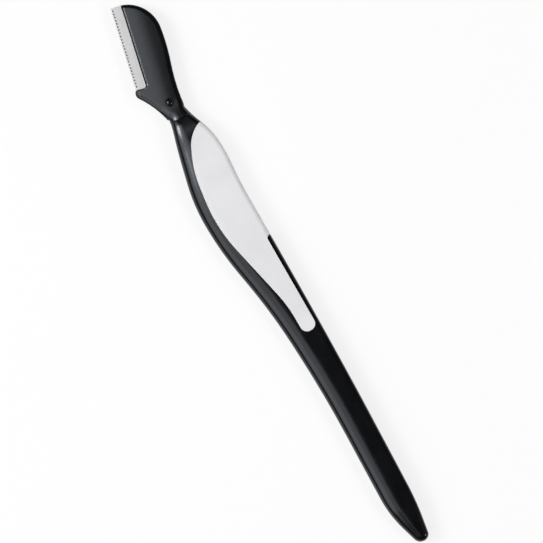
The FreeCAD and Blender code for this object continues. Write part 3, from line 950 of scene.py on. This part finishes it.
@dataclass
class Cover:
    """The head's faces: softly rounded, over the outline of the solid cover.

    A rim or groove is given by its width and depth, and the groove by its distance from the
    mouth first. The face falls by slope from the ridge, a distance from the cutting edge.
    """

    node: str = "head_cover"
    cut: float = 2.9
    lift: float = 2.6
    block_ends: Pair = (0.5, 5.5)
    pitch: Pair = (0.25, 0.12)
    margin: float = 1.0
    face: float = 4.0
    ridge: float = 6.3
    slope: float = 0.135
    soft: float = 1.4
    rise: float = 1.0
    rounding: Pair = (-48.3, -43.4)
    blend: Pair = (-48.5, -46.5)
    passes: int = 8
    back_rim: Pair = (1.1, 0.6)
    chin_rim: Pair = (1.4, 0.6)
    mouth_rim: Pair = (0.16, 0.08)
    mouth_away: float = 2.8
    mouth_along: float = 21.9
    chin_along: float = 21.5
    groove: Point = (0.38, 0.13, 0.13)
    groove_end: float = 20.6
    end: float = -43.6
    past_end: float = 0.15
    closer: float = 0.09
    rivet: Pair = (-48.03, 0.0)
    rivet_clear: float = 1.6
    on_border: float = 0.05
    crisp: float = 40.0

    def build(self) -> bpy.types.Object:
        """Make the cover, drawn a little closer to the grip.

        Returns:
            The finished piece.
        """
        cover = Bench.merged(self.node, "head_shell")
        self.shape(cover, Half.FRONT)
        for vertex in cover.data.vertices:
            if vertex.co.x > self.end * MM + self.past_end * MM:
                vertex.co.x += self.closer * MM
        Bench.only(cover)
        bpy.ops.object.shade_smooth_by_angle(angle=math.radians(self.crisp))
        return cover

    def shape(self, piece: bpy.types.Object, half: Half) -> None:
        """Give a half of the head, merged and closed, its rounded face."""
        self.straighten(piece, half)
        Bench.combine(piece, self.room(half), Change.COMMON)

    def straighten(self, piece: bpy.types.Object, half: Half) -> None:
        """Cut a half of the head level and draw its outline straight on from there.

        Args:
            piece: the half, merged and closed.
            half: which half it is.
        """
        front = half is Half.FRONT
        height = self.cut if front else 2 * MIDDLE - self.cut
        border = self.outline()
        with Bench.editing(piece):
            Bench.bisect((0, 0, height), (0, 0, 1), clear_outer=front, clear_inner=not front)
            Bench.pick(
                piece,
                Kind.EDGE,
                lambda edge: edge.is_boundary and self.is_socket(edge, border),
            )
            bpy.ops.mesh.fill()
            Bench.pick(piece, Kind.EDGE, lambda edge: edge.is_boundary)
            bpy.ops.mesh.extrude_region_move(
                TRANSFORM_OT_translate={"value": (0, 0, half.value * self.lift * MM)}
            )
            bpy.ops.mesh.fill()
            bpy.ops.mesh.select_all(action="SELECT")
            bpy.ops.mesh.normals_make_consistent(inside=False)

    def is_socket(self, edge: bmesh.types.BMEdge, border: np.ndarray) -> bool:
        """Whether a cut edge is a post's socket, neither the border nor the rivet's bore.

        Args:
            edge: the edge.
            border: the cover's outline.

        Returns:
            True for a socket's edge.
        """
        spot = np.array([(edge.verts[0].co + edge.verts[1].co)[:2]]) / (2 * MM)
        if math.dist(spot[0], self.rivet) <= self.rivet_clear:
            return False
        return bool(self.distance(spot, border)[0] > self.on_border)

    def room(self, half: Half) -> bpy.types.Object:
        """A closed block of everything on the inner side of a half's face.

        Args:
            half: which half it is.

        Returns:
            The block.
        """
        outline = self.outline()
        reach = HEAD.measure(outline.reshape(-1, 2))
        low, high = reach.min(axis=0) - self.margin, reach.max(axis=0) + self.margin
        columns, rows = (int(count) for count in np.ceil((high - low) / self.pitch))
        bpy.ops.object.select_all(action="DESELECT")
        bpy.ops.mesh.primitive_grid_add(x_subdivisions=columns, y_subdivisions=rows, size=1.0)
        block = bpy.context.object
        spots = np.empty(len(block.data.vertices) * 3)
        block.data.vertices.foreach_get("co", spots)
        spots = spots.reshape(-1, 3)
        spots[:, :2] = HEAD.spot(low + (spots[:, :2] + 0.5) * (high - low))
        heights = self.height(spots[:, :2], outline)
        spots[:, 2] = self.blended(spots, (rows + 1, columns + 1), heights)
        front_end, back_end = self.block_ends
        end = front_end if half is Half.FRONT else back_end
        if half is Half.BACK:
            spots[:, 2] = 2 * MIDDLE - spots[:, 2]
        block.data.vertices.foreach_set("co", (spots * MM).ravel())
        with Bench.editing(block) as mesh:
            bpy.ops.mesh.select_all(action="SELECT")
            bpy.ops.mesh.extrude_region_move(TRANSFORM_OT_translate={"value": (0, 0, 0)})
            for vertex in mesh.verts:
                if vertex.select:
                    vertex.co.z = end * MM
            bmesh.update_edit_mesh(block.data)
            bpy.ops.mesh.select_all(action="SELECT")
            bpy.ops.mesh.normals_make_consistent(inside=False)
        return block

    def blended(
        self, spots: np.ndarray, shape: tuple[int, int], heights: np.ndarray
    ) -> np.ndarray:
        """Even out the face where it runs into the neck.

        Args:
            spots: points of the grid.
            shape: how many rows and columns of points the grid has.
            heights: height over each point.

        Returns:
            The heights, smoothed towards the neck.
        """
        even = heights.reshape(shape)
        for _ in range(self.passes):
            wide = np.pad(even, 1, mode="edge")
            beside = wide[:-2, 1:-1] + wide[2:, 1:-1] + wide[1:-1, :-2] + wide[1:-1, 2:]
            even = (beside + 2 * even) / 6
        return heights + (even.ravel() - heights) * smooth_step(spots[:, 0], *self.blend)

    def outline(self) -> np.ndarray:
        """Border of the cover.

        Returns:
            Pairs of points.
        """
        piece = Bench.slice_of(self.node, self.cut, "outline")
        with Bench.editing(piece) as mesh:
            Bench.keep_loop(piece, min(mesh.verts, key=lambda vertex: vertex.co.x))
        spots = np.array([vertex.co[:2] for vertex in piece.data.vertices]) / MM
        pairs = spots[np.array([edge.vertices[:] for edge in piece.data.edges])]
        bpy.data.objects.remove(piece)
        return pairs

    def stretches(self, outline: np.ndarray) -> list[np.ndarray]:
        """Divide the border, up to the end at the neck.

        Args:
            outline: border of the cover.

        Returns:
            The border's lines at the mouth, at the chin and at the back.
        """
        middle = outline.mean(axis=1)
        along, away = HEAD.measure(middle).T
        mouth = (away < self.mouth_away) & (along < self.mouth_along)
        chin = ~mouth & (along > self.chin_along) & (middle[:, 1] < 0)
        closed = middle[:, 0] <= self.end
        return [outline[part & closed] for part in (mouth, chin, ~mouth & ~chin)]

    def height(self, spots: np.ndarray, outline: np.ndarray) -> np.ndarray:
        """Height of the face over each point.

        Args:
            spots: X and Y.
            outline: border of the cover.

        Returns:
            The heights.
        """
        along, away = HEAD.measure(spots).T
        neck = smooth_step(spots[:, 0], *self.rounding)
        fall = self.ridge - away
        fall = 0.5 * (fall + np.sqrt(fall**2 + self.soft**2)) * self.slope
        top = self.face - fall * (1 - neck) + self.rise * smooth_step(spots[:, 0], *NECK.ramp)
        probe = np.stack([np.minimum(spots[:, 0], self.end), spots[:, 1]], axis=1)
        inside = self.crossings(probe, outline) % 2 == 1
        gaps = [self.distance(probe, lines) * inside for lines in self.stretches(outline)]
        place, spread, depth = self.groove
        dip = depth * np.exp(-(((gaps[0] - place) / spread) ** 2)) * (along < self.groove_end)
        rims = (
            (self.mouth_rim, self.mouth_rim),
            (self.chin_rim, NECK.chin_round),
            (self.back_rim, NECK.back_round),
        )
        drop = np.zeros(len(spots))
        for gap, (near, far) in zip(gaps, rims):
            wide = near[0] + (far[0] - near[0]) * neck
            deep = near[1] + (far[1] - near[1]) * neck
            share = np.clip(1 - gap / wide, 0.0, 1.0)
            drop = np.maximum(drop, deep * (1 - np.sqrt(1 - share**2)))
        return top - dip - drop

    @staticmethod
    def crossings(spots: np.ndarray, outline: np.ndarray) -> np.ndarray:
        """How often a line to the right of each point crosses the border.

        Args:
            spots: X and Y.
            outline: border of the cover.

        Returns:
            The counts, odd inside the border.
        """
        x, y = spots[:, :1], spots[:, 1:]
        (x1, y1), (x2, y2) = outline[:, 0].T, outline[:, 1].T
        rise = np.where(y2 == y1, 1.0, y2 - y1)
        return (((y1 > y) != (y2 > y)) & (x < (x2 - x1) * (y - y1) / rise + x1)).sum(axis=1)

    @staticmethod
    def distance(spots: np.ndarray, lines: np.ndarray) -> np.ndarray:
        """Distance from each point to the nearest of some lines.

        Args:
            spots: X and Y.
            lines: pairs of points.

        Returns:
            The distances.
        """
        near = np.full(len(spots), np.inf)
        for first, second in lines:
            step = second - first
            share = np.clip((spots - first) @ step / max(step @ step, TINY), 0.0, 1.0)
            near = np.minimum(near, np.hypot(*(spots - first - share[:, None] * step).T))
        return near


@dataclass
class Mouldings:
    """Handle and inlay, cut from one smooth form, and the cover of the head."""

    grip: Grip = field(default_factory=Grip)
    cover: Cover = field(default_factory=Cover)
    plastic: SatinBlack = SatinBlack()
    elastomer: PaleElastomer = PaleElastomer()
    bridge: float = 0.2
    spare: float = 0.1
    hair: float = 0.01
    front_start: float = -43.35
    inlay_cut: float = 4.2
    inlay_rim: float = 0.35
    inlay_overrun: float = 3.0
    inlay_reach: float = 10.0
    inlay_gap: float = 0.1
    upright: float = 0.5
    crisp: float = 38.0

    def build(self) -> dict[str, bpy.types.Object]:
        """Make the handle, the inlay and the cover.

        Returns:
            The pieces by the name of the node each stands for.
        """
        handle = self.grip.build()
        room = self.inlay_room()
        inlay = Bench.copy(handle, "grip_panel")
        Bench.combine(inlay, room, Change.COMMON, keep=True)
        self.join_head(handle)
        self.widen(room)
        Bench.combine(handle, room, Change.CUT)
        for piece in (handle, inlay):
            Bench.smooth(piece, self.crisp, self.grip.start - self.hair)
        return {"handle": handle, "grip_inlay": inlay, "head_cover": self.cover.build()}

    def dress(self, pieces: dict[str, bpy.types.Object]) -> None:
        """Finish the pieces and put them in the place of their nodes.

        Args:
            pieces: the pieces by the name of the node each stands for.
        """
        made = {finish: finish.make() for finish in (self.plastic, self.elastomer)}
        for node, piece in pieces.items():
            finish = self.elastomer if node == "grip_inlay" else self.plastic
            put_on(piece, made[finish])
            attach(piece, "root")
            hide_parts(node)

    def bed(self) -> bpy.types.Object:
        """Shape the head's share of the handle.

        Returns:
            The bed, open towards the grip.
        """
        end = self.grip.start - self.bridge
        bed = Bench.merged("handle", "bed")
        Bench.trim(bed, end + self.spare, close=True)
        profile = self.grip.section(self.front_start)
        with Bench.editing(bed) as mesh:
            for vertex in mesh.verts:
                if vertex.co.x > self.front_start * MM:
                    limit = MIDDLE + profile.top(vertex.co.y / MM)
                    vertex.co.z = min(vertex.co.z, limit * MM)
            bmesh.update_edit_mesh(bed.data)
        self.cover.shape(bed, Half.BACK)
        Bench.trim(bed, end, close=False)
        return bed

    def join_head(self, handle: bpy.types.Object) -> None:
        """Bridge the grip to the head's share of the handle.

        Args:
            handle: the closed form of the grip.
        """
        bed = self.bed()
        first = (self.grip.start + self.hair) * MM
        with Bench.editing(handle):
            Bench.pick(handle, Kind.FACE, lambda face: face.calc_center_median().x < first)
            bpy.ops.mesh.delete(type="FACE")
        Bench.only(handle)
        bed.select_set(True)
        bpy.ops.object.join()
        with Bench.editing(handle):
            Bench.pick(handle, Kind.EDGE, lambda edge: edge.is_boundary)
            bpy.ops.mesh.bridge_edge_loops()
            bpy.ops.mesh.select_all(action="SELECT")
            bpy.ops.mesh.normals_make_consistent(inside=False)

    def inlay_room(self) -> bpy.types.Object:
        """A prism with the inlay's border, reaching past the upper flank.

        Returns:
            The prism.
        """
        room = Bench.slice_of("grip_inlay", self.inlay_cut, "inlay_room")
        with Bench.editing(room) as mesh:
            for vertex in mesh.verts:
                high = self.grip.span(vertex.co.x / MM)[1]
                if vertex.co.y / MM > high - self.inlay_rim:
                    vertex.co.y += self.inlay_overrun * MM
            bmesh.update_edit_mesh(room.data)
            bpy.ops.mesh.select_all(action="SELECT")
            bpy.ops.mesh.edge_face_add()
            bpy.ops.transform.translate(value=(0, 0, -self.inlay_reach * MM))
            bpy.ops.mesh.extrude_region_move(
                TRANSFORM_OT_translate={"value": (0, 0, 2 * self.inlay_reach * MM)}
            )
            bpy.ops.mesh.select_all(action="SELECT")
            bpy.ops.mesh.normals_make_consistent(inside=False)
        return room

    def widen(self, room: bpy.types.Object) -> None:
        """Push the prism's walls out by the seam round the inlay.

        Args:
            room: the prism.
        """
        with Bench.editing(room):
            Bench.pick(room, Kind.FACE, lambda face: abs(face.normal.z) < self.upright)
            bpy.ops.transform.shrink_fatten(value=self.inlay_gap * MM)


@dataclass
class Fittings:
    """Blade, guard and rivet, which stay as packed."""

    blade: BladeSteel = BladeSteel()
    guard: GuardSteel = GuardSteel()
    rivet: GlossBlack = GlossBlack()

    def dress(self) -> None:
        """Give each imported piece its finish."""
        finishes: dict[str, Finish] = {
            "blade": self.blade,
            "skin_guard": self.guard,
            "head_rivet": self.rivet,
        }
        for node, finish in finishes.items():
            put_on(frame["nodes"][node], finish.make())


@dataclass(frozen=True)
class Softbox:
    """A rectangular lamp that looks at the razor, with its place and size in metres.

    A radiance of 1 is white. Glossy surfaces show the lamp where it is mirrored.
    """

    name: str
    place: Point
    size: Pair
    radiance: float
    mirrored: bool = True

    def hang(self) -> bpy.types.Object:
        """Hang the lamp.

        Returns:
            The lamp.
        """
        light = bpy.data.lights.new(self.name, "AREA")
        light.shape = "RECTANGLE"
        light.size, light.size_y = self.size
        light.energy = self.radiance * math.pi * self.size[0] * self.size[1]
        lamp = bpy.data.objects.new(self.name, light)
        lamp.location = self.place
        lamp.rotation_euler = (-Vector(self.place)).to_track_quat("-Z", "Y").to_euler()
        lamp.visible_glossy = self.mirrored
        bpy.context.scene.collection.objects.link(lamp)
        return lamp


@dataclass
class Studio:
    """Floor, lamps and camera of the picture."""

    turn: float = 60.07
    aim: Point = (-0.16, 1.0, 2.5)
    frame_width: float = 131.9
    lens: float = 200.0
    sensor: float = 36.0
    floor_size: float = 5000.0
    floor_cells: int = 4
    floor_drop: float = 0.1
    floor_glow: float = 0.8
    floor_greys: Pair = (0.88, 0.9)
    floor_cloud: float = 0.01
    room_light: float = 0.05
    lamps: tuple[Softbox, ...] = (
        Softbox("low_softbox", (-0.237, -0.749, 0.616), (1.3, 0.52), 2.0),
        Softbox("mid_softbox", (-0.136, -0.431, 0.891), (1.0, 0.4), 1.2),
        Softbox("high_softbox", (-0.26, -0.31, 0.914), (0.5, 0.57), 1.2),
        Softbox("key", (-0.41, -0.58, 0.707), (0.26, 0.34), 15.0),
        Softbox("spark", (0.6, 0.48, 0.62), (0.12, 0.12), 40.0),
        Softbox("fill", (0.1, 0.7, 0.75), (1.0, 0.6), 1.7, mirrored=False),
    )

    def build(self) -> None:
        """Set up the view, the floor, the lamps and the camera."""
        bpy.context.scene.view_settings.view_transform = "Standard"
        self.add_floor()
        self.add_world()
        for lamp in self.lamps:
            lamp.hang()
        self.add_camera()

    def add_floor(self) -> bpy.types.Object:
        """Lay a pale floor that looks white and keeps the shadow.

        Returns:
            The floor.
        """
        bpy.ops.object.select_all(action="DESELECT")
        bpy.ops.mesh.primitive_grid_add(
            x_subdivisions=self.floor_cells,
            y_subdivisions=self.floor_cells,
            size=self.floor_size * MM,
            location=(0, 0, -self.floor_drop * MM),
        )
        floor = bpy.context.object
        floor.name = "floor"
        floor.data.materials.append(self.floor_paint())
        return floor

    def floor_paint(self) -> bpy.types.Material:
        """Mix the floor's card with a glow for the rays that look at it.

        Returns:
            The finished material.
        """
        paint = Paint("floor_white")
        path = paint.add("ShaderNodeLightPath", {}, {}).outputs
        camera, glossy, through = (
            Signal(paint, path[f"Is {kind} Ray"]) for kind in ("Camera", "Glossy", "Transmission")
        )
        seen = camera.most(glossy).most(through)
        cloud = paint.noise(paint.place(), self.floor_cloud)
        colour = paint.greys(cloud, *self.floor_greys)
        card = paint.node("ShaderNodeBsdfDiffuse", {}, {"Color": colour})
        glow = paint.node("ShaderNodeEmission", {}, {"Color": grey(1.0), "Strength": 1.0})
        mix = {0: seen * self.floor_glow, 1: card, 2: glow}
        return paint.end(paint.node("ShaderNodeMixShader", {}, mix))

    def add_world(self) -> None:
        """Put a dim, even room around the lamps."""
        world = bpy.data.worlds.new("room")
        world.use_nodes = True
        shade = world.node_tree.nodes["Background"]
        shade.inputs["Color"].default_value = grey(1.0)
        shade.inputs["Strength"].default_value = self.room_light
        bpy.context.scene.world = world

    def add_camera(self) -> bpy.types.Object:
        """Put the camera straight above, turned as the razor lies in the picture.

        Returns:
            The camera.
        """
        lens = bpy.data.cameras.new("camera")
        lens.lens = self.lens
        lens.sensor_width = self.sensor
        camera = bpy.data.objects.new("camera", lens)
        reach = self.frame_width * self.lens / self.sensor
        camera.location = (self.aim[0] * MM, self.aim[1] * MM, (self.aim[2] + reach) * MM)
        camera.rotation_euler = (0.0, 0.0, math.radians(self.turn))
        bpy.context.scene.collection.objects.link(camera)
        bpy.context.scene.camera = camera
        return camera


def put_on(piece: bpy.types.Object, material: bpy.types.Material) -> None:
    """Give a piece its finish.

    Args:
        piece: the piece.
        material: its finish.
    """
    piece.data.materials.clear()
    piece.data.materials.append(material)
    LOG.info("%s dressed with %s", piece.name, material.name)


def main() -> None:
    """Build and dress the razor, then the picture round it."""
    logging.basicConfig(level=logging.INFO, format="%(name)s: %(message)s")
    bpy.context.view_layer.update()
    mouldings = Mouldings()
    mouldings.dress(mouldings.build())
    Fittings().dress()
    Studio().build()


if __name__ == "__main__":
    main()
